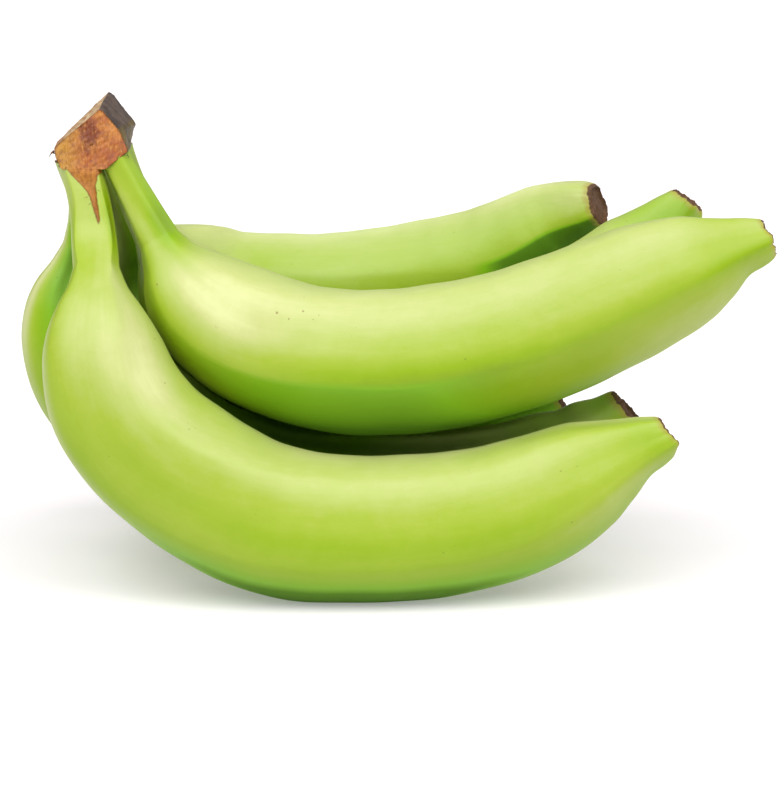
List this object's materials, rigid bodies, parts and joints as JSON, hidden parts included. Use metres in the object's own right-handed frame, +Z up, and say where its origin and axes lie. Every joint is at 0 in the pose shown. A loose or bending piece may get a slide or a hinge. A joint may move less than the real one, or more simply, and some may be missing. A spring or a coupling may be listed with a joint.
{
  "type": "hand of green bananas",
  "caption": "A hand of unripe green bananas in a lower and an upper row, joined at a cut brown crown and lying on the curved undersides of the lower fingers.",
  "frame": {"origin": "on the surface that the hand lies on, under the middle of its outline box", "axes": "+X along the hand, from the crown to the free blossom ends; +Y from the front fingers to the back ones; +Z up from the resting surface"},
  "size_m": [0.1964, 0.1247, 0.1258],
  "materials": {
    "green_peel": "smooth waxy banana peel, yellow-green with darker green undersides, satin",
    "cut_crown": "knife-cut crown tissue, fibrous, dried orange-brown with dark edges, matte"
  },
  "bodies": {
    "root": {"finger_outer_front": "green_peel", "finger_outer_middle": "green_peel", "finger_outer_back": "green_peel", "finger_inner_front": "green_peel", "finger_inner_middle": "green_peel", "finger_inner_back": "green_peel", "crown": "cut_crown"}
  },
  "joints": []
}
